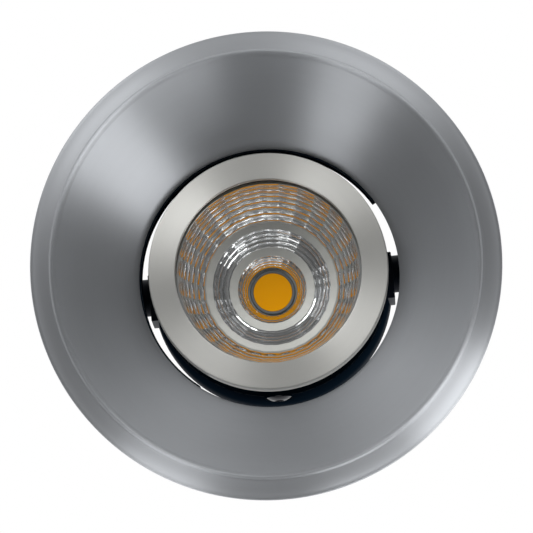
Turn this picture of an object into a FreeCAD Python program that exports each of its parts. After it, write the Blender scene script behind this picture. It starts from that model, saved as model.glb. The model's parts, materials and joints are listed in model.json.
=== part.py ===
"""Recessed soffit downlight with a tilting lamp.

The row frame has its origin on the soffit's face, at the centre of the cut-out. +Z points up into
the soffit and the light shines towards -Z. Sizes are millimetres and angles are degrees.

The lamp is drawn along its own axis: z = 0 is the face of its bezel and z grows towards the rear.
It is then hung on its pivots and leant by lamp_rest_tilt.
"""

import FreeCAD, Part
import math
import os

V = FreeCAD.Vector
X_AXIS = V(1, 0, 0)
Y_AXIS = V(0, 1, 0)
Z_AXIS = V(0, 0, 1)

# ---------------------------------------------------------------- trim ring
flange_radius = 52.5  # outer edge of the visible rim
flange_edge = 1.2  # thickness of the rim at its outer edge
flange_bevel_drop = 1.7  # the rim's bevel falls this far towards the bead
bead_outer_radius = 48.2
bead_inner_radius = 46.6
bead_height = 0.7  # the rounded bead stands this far below the bevel's end
bevel_swell = 0.2  # the bevel bulges this far past straight
cone_lip_rise = 0.9  # from the bevel's end up to the top of the deep cone's mouth
aperture_radius = 29.7
aperture_height = 21.6  # above the soffit's face
trim_wall = 1.5
collar_radius = 32.8  # flat seat on top of the cone
screw_boss_radius = 3.2
screw_boss_depth = 9.0

# ---------------------------------------------------------------- flange gasket
gasket_thickness = 0.8
gasket_outer_radius = 51.7
gasket_width = 3.5

# ---------------------------------------------------------------- carrier ring and its arms
carrier_thickness = 1.5
carrier_outer_radius = 39.4
carrier_bore_radius = 29.3  # shows as a thin dark wall inside the aperture
carrier_relief_radius = 30.6  # the bore steps back to this between the two notches
relief_start = -36.5  # row angles of the two notches
relief_end = 122.5
carrier_collar_height = 3.9  # upright wall round the narrow part of the bore
carrier_collar_wall = 1.1
carrier_screw_circle = 36.4  # radius on which its screws stand
carrier_screw_offsets = (60.0, 120.0, 240.0, 300.0)  # from the pivot axis
arm_inner_face = 31.0
arm_thickness = 1.5
arm_half_width = 6.0

# ---------------------------------------------------------------- pivots and the lamp's pose
pivot_height = 38.2  # above the soffit's face
pivot_setback = 20.0  # from the bezel's face to the pivot axis, along the lamp
pivot_turn = -5.4  # row angle of the pivot axis
lamp_rest_tilt = -3.2  # about the pivot axis
pivot_shank_radius = 2.0
pivot_running_gap = 0.05
pivot_head_radius = 3.6
pivot_head_height = 2.0
washer_radius = 4.2
washer_thickness = 0.5
bush_radius = 4.3
bush_foot_low = 6.4  # the foot reaches further on the lower side, so that it can't turn
bush_foot_high = 4.4
bush_foot_half_depth = 5.1
bush_foot_thickness = 2.0
bush_seat_radius = 26.2  # flat spot on the rear housing
bush_arm_gap = 0.1

# ---------------------------------------------------------------- bezel and front glass
bezel_radius = 27.3
bezel_thickness = 3.5
bezel_lip_radius = 21.2
bezel_lip_thickness = 1.6
bezel_edge_round = 0.45
bezel_spigot_inner = 23.0
bezel_spigot_outer = 24.2
bezel_spigot_length = 3.3
glass_radius = 22.8
glass_thickness = 1.2
glass_seal_thickness = 0.4
glass_seal_inner = 21.7

# ---------------------------------------------------------------- front housing
waist_radius = 25.3
waist_end = 12.0
housing_spigot_end = 17.6
housing_bore_radius = 21.95
housing_rim_radius = 22.8
fit_gap = 0.1  # between parts that slide together once, at assembly

# ---------------------------------------------------------------- reflector
facet_columns = 30
mouth_radius = 20.8
mouth_depth = 3.3
reflector_wall = 0.7
reflector_flange_thickness = 0.8
ledge_1_outer_radius = 15.3
ledge_1_inner_radius = 13.8
ledge_1_setback = 7.0  # from the lamp hole's depth up to this ledge
ledge_2_outer_radius = 9.9
ledge_2_inner_radius = 8.1
ledge_2_setback = 3.6
ledge_fall = 0.35  # each ledge slopes by this much
lamp_hole_radius = 5.7
reflector_board_gap = 1.2  # between the bowl's end and the board
tier_row_counts = (8, 5, 4)
tier_bulges = (0.07, 0.05, -0.04)  # sagitta of each tier's meridian, over its chord

# ---------------------------------------------------------------- light source
phosphor_radius = 4.5
phosphor_thickness = 0.6
dam_radius = 5.3
dam_thickness = 0.7
board_radius = 8.5
board_thickness = 1.0
board_face_depth = 28.8
pad_thickness = 0.2
holder_radius = 13.6
holder_lip_radius = 7.6
holder_lip_thickness = 0.8
holder_screw_circle = 11.2
holder_screw_radius = 1.0
holder_screw_head_radius = 1.9
holder_screw_head_height = 1.1
holder_screw_length = 5.5
wire_radius = 0.8
wire_bore_radius = 1.2
wire_circle = 10.8
wire_spread = 18.0  # half of the angle between the two wires

# ---------------------------------------------------------------- rear housing and heat sink
cup_front_radius = 27.15
cup_rear_radius = 27.85  # the cup widens towards its rear rim
cup_rim_depth = 27.0
cup_rim_thickness = 2.0  # wall between the two widths of the cavity and the rim's back
cup_back_radius = 24.4  # behind the rim
sink_cavity_radius = 24.0
cup_back_cavity_radius = 20.6
cup_floor_thickness = 4.0
fin_length = 18.0
fin_count = 24
fin_thickness = 1.3
fin_radius = 23.0
core_radius = 13.6
top_plate_radius = 22.4
top_plate_thickness = 2.5
side_screw_depth = 15.0
side_screw_angle = 85.8
side_screw_count = 3
side_screw_head_radius = 2.85
side_screw_head_height = 1.0
side_screw_shank_radius = 1.45
side_screw_tip = 22.3
side_seat_radius = 26.9
socket_radius = 1.15
socket_depth = 0.9

# ---------------------------------------------------------------- terminal cover and gland
cover_radius = 16.6
cover_wall = 1.6
cover_height = 13.0
cover_flange_radius = 21.6
cover_flange_thickness = 2.0
cover_gasket_thickness = 0.6
cover_screw_circle = 19.1
cover_screw_count = 3
cover_screw_radius = 1.2
cover_screw_head_radius = 2.1
cover_screw_head_height = 1.3
cover_screw_length = 4.5  # below the head
terminal_length = 15.0
terminal_depth = 8.0
terminal_height = 7.5
clamp_well_radius = 1.6  # over each clamping screw of the block
wire_entry_length = 1.0  # how far the wires go into the block
gland_thread_radius = 5.0
gland_flange_radius = 7.4
gland_flange_thickness = 3.0
gland_barrel_radius = 5.4
gland_barrel_length = 6.0
gland_bore_radius = 3.7
gland_stub_length = 2.6
gland_nut_radius = 7.2
gland_nut_skirt = 0.8
gland_nut_wall = 1.4
seal_bore_radius = 3.1
seal_length = 5.0

# ---------------------------------------------------------------- soffit clips
clip_offsets = (90.0, 270.0)  # from the pivot axis
clip_pin_distance = 37.0
clip_pin_height = 30.0
clip_pin_radius = 1.25
clip_pin_gap = 0.05
clip_pin_head_radius = 2.1
clip_pin_head_thickness = 0.7
clip_rest_angle = -57.5  # of the arm, below the horizontal
clip_arm_length = 23.5
clip_arm_start = 3.4
clip_arm_half_width = 4.2
clip_strip_thickness = 0.8
clip_lug_radius = 2.7
clip_lug_thickness = 0.8
clip_heel_gap = 0.05
clip_heel_width = 1.2
clip_sleeve_length = 9.0
clip_sleeve_wall = 0.8
clip_ear_inner = 4.6
clip_ear_thickness = 1.0
clip_base_thickness = 1.0
clip_base_inner = 32.8
clip_base_outer = 38.6
clip_ear_radius = 3.0
clip_rivet_distances = (34.3, 37.3)
clip_rivet_side = 1.6
clip_rivet_radius = 0.8
clip_rivet_head_radius = 1.3
clip_rivet_head_height = 0.6
spring_wire_radius = 0.4
spring_coil_radius = 2.1  # to the middle of the wire
spring_whole_turns = 3
spring_pitch = 1.35
spring_base_leg_angle = 250.0  # the leg's direction down to the bracket
spring_arm_leg_length = 7.0
spring_leg_gap = 0.15  # between a leg and what it lies on

# ---------------------------------------------------------------- fasteners of the carrier
carrier_screw_radius = 1.5
carrier_screw_head_radius = 2.8
carrier_screw_head_height = 1.8
carrier_screw_length = 8.0
thread_gap = 0.05  # around an engaged thread
clearance_gap = 0.2  # around a screw that passes through

# ---------------------------------------------------------------- heights that follow
trim_back = -gasket_thickness
edge_front = trim_back - flange_edge
bevel_front = edge_front - flange_bevel_drop
collar_top = aperture_height + trim_wall
carrier_top = collar_top + carrier_thickness
lamp_hole_depth = board_face_depth - reflector_board_gap
ledge_1_depth = lamp_hole_depth - ledge_1_setback
ledge_2_depth = lamp_hole_depth - ledge_2_setback
sink_floor = board_face_depth + board_thickness + pad_thickness
fins_start = sink_floor + cup_floor_thickness
fins_end = fins_start + fin_length
plate_top = fins_end + top_plate_thickness
cover_foot = plate_top + cover_gasket_thickness
cover_top = cover_foot + cover_height
arm_outer_face = arm_inner_face + arm_thickness
clip_base_top = carrier_top + clip_base_thickness


def at(radius, degrees, height=0.0):
    """Point at a radius and angle round Z."""
    turn = math.radians(degrees)
    return V(radius * math.cos(turn), radius * math.sin(turn), height)


def cylinder(radius, start, length, direction=Z_AXIS):
    """Solid cylinder from a start point along a direction."""
    return Part.makeCylinder(radius, length, start, direction)


def tube(outer, inner, bottom, height):
    """Ring with a round bore, round Z."""
    return cylinder(outer, V(0, 0, bottom), height).cut(cylinder(inner, V(0, 0, bottom), height))


def turned(points):
    """Solid turned round Z from a closed outline of (radius, height) points."""
    outline = [V(radius, 0, height) for radius, height in points]
    face = Part.Face(Part.makePolygon(outline + outline[:1]))
    return face.revolve(V(0, 0, 0), Z_AXIS, 360)


def turned_edges(edges):
    """Solid turned round Z from edges that close an outline in the XZ plane."""
    return Part.Face(Part.Wire(edges)).revolve(V(0, 0, 0), Z_AXIS, 360)


def box(low, high):
    """Box between two opposite corners."""
    return Part.makeBox(high.x - low.x, high.y - low.y, high.z - low.z, low)


def spun(shape, degrees):
    """Copy turned about Z."""
    copy = shape.copy()
    copy.rotate(V(0, 0, 0), Z_AXIS, degrees)
    return copy


def prism(points, thickness, direction):
    """Flat outline pushed along a direction."""
    return Part.Face(Part.makePolygon(points + points[:1])).extrude(direction * thickness)


def button_head(radius, height, seat, direction):
    """Domed screw head with a round-bottomed drive socket, standing on its seat."""
    dome_radius = (radius ** 2 + height ** 2) / (2 * height)
    centre = seat + direction * (height - dome_radius)
    head = Part.makeSphere(dome_radius, centre).common(cylinder(radius, seat, height, direction))
    socket = cylinder(socket_radius, seat + direction * (height - socket_depth), height, direction)
    return head.cut(socket)


def screw(head_radius, head_height, shank_radius, shank_length, seat, direction):
    """Button-head screw: the head stands on the seat, the shank goes the other way."""
    shank = cylinder(shank_radius, seat - direction * shank_length, shank_length, direction)
    return button_head(head_radius, head_height, seat, direction).fuse(shank).removeSplitter()


def trim_ring():
    """Rim, bead, deep cone and screw bosses, in one casting."""
    bead_top = bevel_front + cone_lip_rise
    bead_middle = (bead_outer_radius + bead_inner_radius) / 2
    rim_edge = Part.makeLine(V(flange_radius, 0, trim_back), V(flange_radius, 0, edge_front))
    bevel = Part.Arc(
        V(flange_radius, 0, edge_front),
        V((flange_radius + bead_outer_radius) / 2, 0, (edge_front + bevel_front) / 2 - bevel_swell),
        V(bead_outer_radius, 0, bevel_front),
    ).toShape()
    bead = Part.Arc(
        V(bead_outer_radius, 0, bevel_front),
        V(bead_middle, 0, bevel_front - bead_height),
        V(bead_inner_radius, 0, bead_top),
    ).toShape()
    cone_points = [
        V(bead_inner_radius, 0, bead_top),
        V(aperture_radius, 0, aperture_height),
        V(aperture_radius, 0, collar_top),
        V(collar_radius, 0, collar_top),
        V(collar_radius, 0, aperture_height),
    ]
    slope = (bead_inner_radius - aperture_radius) / (aperture_height - bead_top)
    wall_across = trim_wall * math.hypot(1, slope)
    back_radius = aperture_radius + slope * (aperture_height - trim_back) + wall_across
    cone_points += [
        V(aperture_radius + wall_across, 0, aperture_height),
        V(back_radius, 0, trim_back),
        V(flange_radius, 0, trim_back),
    ]
    lines = [Part.makeLine(a, b) for a, b in zip(cone_points, cone_points[1:])]
    shell = turned_edges([rim_edge, bevel, bead] + lines)
    hollow = turned([
        (0, bead_top),
        (bead_inner_radius, bead_top),
        (aperture_radius, aperture_height),
        (aperture_radius, collar_top),
        (0, collar_top),
    ])
    for offset in carrier_screw_offsets:
        foot = at(carrier_screw_circle, pivot_turn + offset, collar_top - screw_boss_depth)
        boss = cylinder(screw_boss_radius, foot, screw_boss_depth).cut(hollow)
        shell = shell.fuse(boss)
    for offset in carrier_screw_offsets:
        depth = carrier_screw_length - carrier_thickness + clearance_gap
        mouth = at(carrier_screw_circle, pivot_turn + offset, collar_top - depth)
        shell = shell.cut(cylinder(carrier_screw_radius + thread_gap, mouth, depth))
    return shell.removeSplitter()


def flange_gasket():
    """Flat foam seal between the rim and the soffit."""
    return tube(gasket_outer_radius, gasket_outer_radius - gasket_width, trim_back, gasket_thickness)


def carrier_ring():
    """Black sheet ring on the cone, with the two arms that carry the lamp."""
    ring = tube(carrier_outer_radius, carrier_bore_radius, collar_top, carrier_thickness)
    relief = Part.makeCylinder(
        carrier_relief_radius, carrier_thickness, V(0, 0, collar_top), Z_AXIS, relief_end - relief_start
    )
    ring = ring.cut(spun(relief, relief_start))
    collar_span = 360 - (relief_end - relief_start)
    collar_outer = carrier_bore_radius + carrier_collar_wall
    collar_foot = V(0, 0, carrier_top)
    collar = Part.makeCylinder(collar_outer, carrier_collar_height, collar_foot, Z_AXIS, collar_span)
    collar = collar.cut(cylinder(carrier_bore_radius, collar_foot, carrier_collar_height))
    ring = ring.fuse(spun(collar, relief_end))
    for side in (0, 180):
        plate = box(
            V(arm_inner_face, -arm_half_width, collar_top),
            V(arm_outer_face, arm_half_width, pivot_height),
        )
        crown = cylinder(arm_half_width, V(arm_inner_face, 0, pivot_height), arm_thickness, X_AXIS)
        hole = cylinder(
            pivot_shank_radius + pivot_running_gap, V(arm_inner_face, 0, pivot_height), arm_thickness, X_AXIS
        )
        arm = plate.fuse(crown).cut(hole)
        ring = ring.fuse(spun(arm, pivot_turn + side))
    for offset in carrier_screw_offsets:
        foot = at(carrier_screw_circle, pivot_turn + offset, collar_top)
        ring = ring.cut(cylinder(carrier_screw_radius + clearance_gap, foot, carrier_thickness))
    for offset in clip_offsets:
        for foot in rivet_feet(offset):
            ring = ring.cut(cylinder(clip_rivet_radius + thread_gap, foot, carrier_thickness))
    return ring.removeSplitter()


def carrier_screws():
    """Screws that hold the carrier ring on the trim ring."""
    return [
        screw(
            carrier_screw_head_radius, carrier_screw_head_height, carrier_screw_radius,
            carrier_screw_length, at(carrier_screw_circle, pivot_turn + offset, carrier_top), Z_AXIS,
        )
        for offset in carrier_screw_offsets
    ]


def rivet_feet(offset):
    """Where a clip's two rivets pass through the carrier ring."""
    return [
        spun_point(V(distance, clip_rivet_side, collar_top), pivot_turn + offset)
        for distance in clip_rivet_distances
    ]


def spun_point(point, degrees):
    """Point turned about Z."""
    turn = math.radians(degrees)
    across = point.x * math.cos(turn) - point.y * math.sin(turn)
    along = point.x * math.sin(turn) + point.y * math.cos(turn)
    return V(across, along, point.z)


def clip_bracket():
    """Bracket with two ears; drawn on +X."""
    ear_outer = clip_ear_inner + clip_ear_thickness
    base = box(V(clip_base_inner, -ear_outer, carrier_top), V(clip_base_outer, ear_outer, clip_base_top))
    for side in (-1, 1):
        face = side * clip_ear_inner if side > 0 else -ear_outer
        ear = box(
            V(clip_pin_distance - clip_ear_radius, face, clip_base_top),
            V(clip_base_outer, face + clip_ear_thickness, clip_pin_height),
        )
        crown = cylinder(
            clip_ear_radius, V(clip_pin_distance, face, clip_pin_height), clip_ear_thickness, Y_AXIS
        )
        base = base.fuse(ear).fuse(crown)
    axle = cylinder(
        clip_pin_radius + clip_pin_gap, V(clip_pin_distance, -ear_outer, clip_pin_height), 2 * ear_outer, Y_AXIS
    )
    base = base.cut(axle)
    for distance in clip_rivet_distances:
        foot = V(distance, clip_rivet_side, carrier_top)
        base = base.cut(cylinder(clip_rivet_radius + thread_gap, foot, clip_base_thickness))
    return base.removeSplitter()


def clip_rivet(foot):
    """Rivet through the carrier ring and a bracket, headed on both faces."""
    length = carrier_thickness + clip_base_thickness
    shank = cylinder(clip_rivet_radius, foot, length)
    lower = cylinder(clip_rivet_head_radius, foot - Z_AXIS * clip_rivet_head_height, clip_rivet_head_height)
    upper = cylinder(clip_rivet_head_radius, foot + Z_AXIS * length, clip_rivet_head_height)
    return shank.fuse(lower).fuse(upper).removeSplitter()


def clip_pin():
    """Pin through the bracket's ears, with a flat head at each end."""
    reach = clip_ear_inner + clip_ear_thickness + clip_pin_gap
    start = V(clip_pin_distance, -reach, clip_pin_height)
    pin = cylinder(clip_pin_radius, start, 2 * reach, Y_AXIS)
    for side in (-1, 1):
        head_start = start if side < 0 else start + Y_AXIS * 2 * reach
        head = cylinder(clip_pin_head_radius, head_start, clip_pin_head_thickness, Y_AXIS * side)
        pin = pin.fuse(head)
    return pin.removeSplitter()


def lean_clip(shape):
    """Turn a piece that is drawn level about the clip's pin, down to its rest angle."""
    shape.rotate(V(clip_pin_distance, 0, clip_pin_height), Y_AXIS, -clip_rest_angle)
    return shape


def clip_arm():
    """Strip with two lugs round the pin and a heel that stops it on the bracket."""
    half = clip_strip_thickness / 2
    strip = lean_clip(box(
        V(clip_pin_distance + clip_arm_start, -clip_arm_half_width, clip_pin_height - half),
        V(clip_pin_distance + clip_arm_length, clip_arm_half_width, clip_pin_height + half),
    ))
    heel_bottom = clip_base_top + clip_heel_gap
    arm = strip
    for side in (-1, 1):
        face = clip_arm_half_width - clip_lug_thickness if side > 0 else -clip_arm_half_width
        lug_centre = V(clip_pin_distance, face, clip_pin_height)
        lug = cylinder(clip_lug_radius, lug_centre, clip_lug_thickness, Y_AXIS)
        web = lean_clip(box(
            V(clip_pin_distance, face, clip_pin_height - half),
            V(clip_pin_distance + clip_arm_start + clip_lug_radius, face + clip_lug_thickness,
              clip_pin_height + clip_lug_radius),
        ))
        heel = box(
            V(clip_pin_distance, face, heel_bottom),
            V(clip_pin_distance + clip_heel_width, face + clip_lug_thickness, clip_pin_height),
        )
        arm = arm.fuse(lug).fuse(web).fuse(heel)
    axle = cylinder(
        clip_pin_radius + clip_pin_gap, V(clip_pin_distance, -clip_arm_half_width, clip_pin_height),
        2 * clip_arm_half_width, Y_AXIS,
    )
    return arm.cut(axle).removeSplitter()


def clip_sleeve():
    """Soft sleeve pushed over the end of the strip."""
    half = clip_strip_thickness / 2 + clip_sleeve_wall
    side = clip_arm_half_width + clip_sleeve_wall
    start = clip_pin_distance + clip_arm_length - clip_sleeve_length
    outer = box(
        V(start, -side, clip_pin_height - half),
        V(start + clip_sleeve_length + clip_sleeve_wall, side, clip_pin_height + half),
    )
    strip = box(
        V(start, -clip_arm_half_width, clip_pin_height - clip_strip_thickness / 2),
        V(start + clip_sleeve_length, clip_arm_half_width, clip_pin_height + clip_strip_thickness / 2),
    )
    return lean_clip(outer.cut(strip))


def clip_spring():
    """Torsion spring round the pin: one leg lies on the arm, the other on the bracket's base."""
    start_angle = spring_base_leg_angle - 90
    leg_height = clip_strip_thickness / 2 + spring_wire_radius + spring_leg_gap
    reach = math.hypot(spring_coil_radius, spring_arm_leg_length)
    lean = math.degrees(math.acos(leg_height / reach) - math.atan2(spring_arm_leg_length, spring_coil_radius))
    end_angle = clip_rest_angle - lean + 90 - 360 * spring_whole_turns
    turns = (start_angle - end_angle) / 360
    length = turns * spring_pitch
    steps = int(math.ceil(turns * 16))
    points = []
    for step in range(steps + 1):
        share = step / steps
        turn = math.radians(start_angle + (end_angle - start_angle) * share)
        points.append(V(
            spring_coil_radius * math.cos(turn), length * (share - 0.5), spring_coil_radius * math.sin(turn)
        ))
    curve = Part.BSplineCurve()
    curve.interpolate(points)
    start_direction = curve.tangent(curve.FirstParameter)[0]
    end_direction = curve.tangent(curve.LastParameter)[0]
    ring = Part.Wire([Part.makeCircle(spring_wire_radius, points[0], start_direction)])
    coil = Part.Wire([curve.toShape()]).makePipeShell([ring], True, False)
    drop = points[0].z + clip_pin_height - clip_base_top - spring_wire_radius - spring_leg_gap
    base_leg_length = drop / abs(math.sin(math.radians(spring_base_leg_angle)))
    base_leg = cylinder(spring_wire_radius, points[0], base_leg_length, start_direction * -1)
    arm_leg = cylinder(spring_wire_radius, points[-1], spring_arm_leg_length, end_direction)
    spring = coil.fuse(base_leg).fuse(arm_leg)
    print("clip spring: least gap between turns", round(spring_pitch - 2 * spring_wire_radius, 3), "mm")
    spring.translate(V(clip_pin_distance, 0, clip_pin_height))
    return spring


def hang(shape):
    """Move a piece from the lamp's own axis to its place, leant about the pivots."""
    shape.translate(V(0, 0, pivot_height - pivot_setback))
    axis = at(1, pivot_turn)
    shape.rotate(V(0, 0, pivot_height), axis, lamp_rest_tilt)
    return shape


def bezel_ring():
    """Front ring with an inner lip and a threaded spigot."""
    back = bezel_thickness
    return turned([
        (bezel_lip_radius, 0),
        (bezel_radius - bezel_edge_round, 0),
        (bezel_radius, bezel_edge_round),
        (bezel_radius, back),
        (bezel_spigot_outer, back),
        (bezel_spigot_outer, back + bezel_spigot_length),
        (bezel_spigot_inner, back + bezel_spigot_length),
        (bezel_spigot_inner, bezel_lip_thickness),
        (bezel_lip_radius, bezel_lip_thickness),
    ])


def glass_seal():
    """Flat ring between the bezel's lip and the glass."""
    return tube(glass_radius, glass_seal_inner, bezel_lip_thickness, glass_seal_thickness)


def front_glass():
    """Clear flat disc."""
    return cylinder(glass_radius, V(0, 0, bezel_lip_thickness + glass_seal_thickness), glass_thickness)


def front_housing():
    """Black ring between the bezel and the rear housing, with the groove for the bezel's thread."""
    groove = bezel_thickness + bezel_spigot_length + fit_gap
    rim = mouth_depth + reflector_flange_thickness
    ring = turned([
        (waist_radius, bezel_thickness),
        (waist_radius, waist_end),
        (sink_cavity_radius - fit_gap, waist_end),
        (sink_cavity_radius - fit_gap, housing_spigot_end),
        (housing_bore_radius, housing_spigot_end),
        (housing_bore_radius, rim),
        (housing_rim_radius, rim),
        (housing_rim_radius, groove),
        (bezel_spigot_outer + fit_gap, groove),
        (bezel_spigot_outer + fit_gap, bezel_thickness),
    ])
    for angle in side_screw_angles():
        ring = ring.cut(cylinder(
            side_screw_shank_radius + thread_gap, at(housing_bore_radius - 1, angle, side_screw_depth),
            waist_radius, at(1, angle),
        ))
    return ring


def side_screw_angles():
    """Angles of the screws round the waist, in the row frame."""
    return [side_screw_angle + 360 / side_screw_count * number for number in range(side_screw_count)]


def tier_profile(tier):
    """(radius, depth) of each row's edge down one faceted tier; a positive bulge goes outwards."""
    ends = (
        ((mouth_radius, mouth_depth), (ledge_1_outer_radius, ledge_1_depth)),
        ((ledge_1_inner_radius, ledge_1_depth + ledge_fall), (ledge_2_outer_radius, ledge_2_depth)),
        ((ledge_2_inner_radius, ledge_2_depth + ledge_fall), (lamp_hole_radius, lamp_hole_depth)),
    )
    (start_radius, start_depth), (end_radius, end_depth) = ends[tier]
    fall = end_depth - start_depth
    inset = start_radius - end_radius
    chord = math.hypot(fall, inset)
    rows = tier_row_counts[tier]
    points = []
    for row in range(rows + 1):
        share = row / rows
        bulge = tier_bulges[tier] * chord * 4 * share * (1 - share)
        points.append((
            start_radius - inset * share + bulge * fall / chord,
            start_depth + fall * share + bulge * inset / chord,
        ))
    return points


def faceted_hollow(tier):
    """Hollow of one tier: flat facets in rows and columns."""
    step = 360 / facet_columns
    sections = []
    for radius, depth in tier_profile(tier):
        corners = [at(radius, step * column, depth) for column in range(facet_columns)]
        sections.append(Part.makePolygon(corners + corners[:1]))
    return Part.makeLoft(sections, True, True)


def reflector():
    """Three-tier faceted bowl with two smooth ledges."""
    wall = reflector_wall
    outside = [(mouth_radius + wall, mouth_depth)]
    for tier in range(3):
        outside += [(radius + wall, depth + wall * 0.6) for radius, depth in tier_profile(tier)]
    rim = mouth_depth + reflector_flange_thickness
    outline = [
        (0, mouth_depth),
        (glass_radius, mouth_depth),
        (glass_radius, rim),
        (mouth_radius + wall, rim),
    ]
    outline += [point for point in outside if point[1] > rim]
    outline[-1] = (lamp_hole_radius + wall, lamp_hole_depth)
    outline.append((0, lamp_hole_depth))
    bowl = turned(outline)
    for tier in range(3):
        bowl = bowl.cut(faceted_hollow(tier))
    slack = ledge_fall + 0.01
    for radius, depth in (
        (ledge_1_inner_radius, ledge_1_depth),
        (ledge_2_inner_radius, ledge_2_depth),
    ):
        bowl = bowl.cut(cylinder(radius * math.cos(math.pi / facet_columns), V(0, 0, depth - 0.01), slack))
    return bowl


def cob_board():
    """Round metal-core board."""
    return cylinder(board_radius, V(0, 0, board_face_depth), board_thickness)


def cob_dam():
    """Pale wall round the phosphor."""
    return tube(dam_radius, phosphor_radius, board_face_depth - dam_thickness, dam_thickness)


def cob_phosphor():
    """Yellow light-emitting disc."""
    return cylinder(phosphor_radius, V(0, 0, board_face_depth - phosphor_thickness), phosphor_thickness)


def thermal_pad():
    """Thin pad between the board and the heat sink."""
    return cylinder(board_radius, V(0, 0, sink_floor - pad_thickness), pad_thickness)


def holder_screw_places():
    """Points of the holder's two screws on its front face."""
    face = board_face_depth - holder_lip_thickness
    return [at(holder_screw_circle, angle, face) for angle in (0, 180)]


def wire_places():
    """Angles of the two lead wires."""
    return (90 - wire_spread, 90 + wire_spread)


def cob_holder():
    """Ring that clamps the board on the heat sink."""
    face = board_face_depth - holder_lip_thickness
    ring = tube(holder_radius, holder_lip_radius, face, holder_lip_thickness)
    ring = ring.fuse(tube(holder_radius, board_radius + fit_gap, board_face_depth, sink_floor - board_face_depth))
    for place in holder_screw_places():
        ring = ring.cut(cylinder(holder_screw_radius + thread_gap, place, sink_floor - face))
    for angle in wire_places():
        ring = ring.cut(cylinder(wire_bore_radius, at(wire_circle, angle, face), sink_floor - face))
    return ring.removeSplitter()


def holder_screws():
    """Two small screws through the holder."""
    return [
        screw(
            holder_screw_head_radius, holder_screw_head_height, holder_screw_radius,
            holder_screw_length, place, Z_AXIS * -1,
        )
        for place in holder_screw_places()
    ]


def lead_wire(angle):
    """Wire from the holder through the core to the terminal block."""
    start = board_face_depth - holder_lip_thickness
    return cylinder(wire_radius, at(wire_circle, angle, start), plate_top + wire_entry_length - start)


def rear_housing():
    """Black cup behind the front housing; the heat sink screws into its floor."""
    back_cavity = cup_rim_depth - cup_rim_thickness
    cup = turned([
        (sink_cavity_radius, waist_end),
        (cup_front_radius, waist_end),
        (cup_rear_radius, cup_rim_depth),
        (cup_back_radius, cup_rim_depth),
        (cup_back_radius, fins_start),
        (core_radius + thread_gap, fins_start),
        (core_radius + thread_gap, sink_floor),
        (cup_back_cavity_radius, sink_floor),
        (cup_back_cavity_radius, back_cavity),
        (sink_cavity_radius, back_cavity),
    ])
    for angle in side_screw_angles():
        outwards = at(1, angle)
        hole = at(sink_cavity_radius - fit_gap, angle, side_screw_depth)
        cup = cup.cut(cylinder(side_screw_shank_radius + clearance_gap, hole, cup_rear_radius, outwards))
        seat = at(side_seat_radius, angle, side_screw_depth)
        cup = cup.cut(cylinder(side_screw_head_radius + clearance_gap, seat, cup_rear_radius, outwards))
    for side in (0, 180):
        outwards = at(1, pivot_turn + side)
        hole = at(sink_cavity_radius - pivot_shank_radius, pivot_turn + side, pivot_setback)
        cup = cup.cut(bush_foot(side, cup_rear_radius, fit_gap))
        cup = cup.cut(cylinder(pivot_shank_radius + thread_gap, hole, cup_rear_radius, outwards))
    return cup.removeSplitter()


def heat_sink():
    """Core with radial fins and the plate for the terminal cover; its face carries the board."""
    core = cylinder(core_radius, V(0, 0, sink_floor), fins_end - sink_floor)
    body = core.fuse(cylinder(top_plate_radius, V(0, 0, fins_end), top_plate_thickness))
    half = fin_thickness / 2
    fin = box(V(core_radius - fin_thickness, -half, fins_start), V(fin_radius, half, fins_end))
    fin = fin.common(cylinder(fin_radius, V(0, 0, fins_start), fin_length))
    body = body.multiFuse([spun(fin, 360 / fin_count * number) for number in range(fin_count)])
    for place in holder_screw_places():
        depth = holder_screw_length - holder_lip_thickness
        body = body.cut(cylinder(holder_screw_radius + thread_gap, V(place.x, place.y, sink_floor), depth))
    for angle in wire_places():
        body = body.cut(cylinder(wire_bore_radius, at(wire_circle, angle, sink_floor), plate_top - sink_floor))
    for place in cover_screw_places(fins_end):
        body = body.cut(cylinder(cover_screw_radius + thread_gap, place, top_plate_thickness))
    return body.removeSplitter()


def side_screws():
    """Three radial screws that join the rear housing to the front housing."""
    return [
        screw(
            side_screw_head_radius, side_screw_head_height, side_screw_shank_radius,
            side_seat_radius - side_screw_tip, at(side_seat_radius, angle, side_screw_depth), at(1, angle),
        )
        for angle in side_screw_angles()
    ]


def bush_foot(side, thickness, room):
    """Block of a bush's foot, or of its pocket when room is added round it."""
    low = V(bush_seat_radius, -bush_foot_high - room, pivot_setback - bush_foot_half_depth - room)
    high = V(bush_seat_radius + thickness, bush_foot_low + room, pivot_setback + bush_foot_half_depth + room)
    if side:
        low.y, high.y = -high.y, -low.y
    return spun(box(low, high), pivot_turn + side)


def pivot_bushes():
    """Black spacers between the rear housing and the arms, each with a foot in the housing."""
    bushes = []
    length = arm_inner_face - bush_arm_gap - bush_seat_radius
    for side in (0, 180):
        outwards = at(1, pivot_turn + side)
        seat = at(bush_seat_radius, pivot_turn + side, pivot_setback)
        bush = cylinder(bush_radius, seat, length, outwards).fuse(bush_foot(side, bush_foot_thickness, 0))
        bushes.append(bush.cut(cylinder(pivot_shank_radius + thread_gap, seat, length, outwards)))
    return bushes


def pivot_washers():
    """Spring washers that give the tilt its friction."""
    washers = []
    for side in (0, 180):
        outwards = at(1, pivot_turn + side)
        seat = at(arm_outer_face + pivot_running_gap, pivot_turn + side, pivot_setback)
        ring = cylinder(washer_radius, seat, washer_thickness, outwards)
        bore = cylinder(pivot_shank_radius + thread_gap, seat, washer_thickness, outwards)
        washers.append(ring.cut(bore))
    return washers


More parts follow.
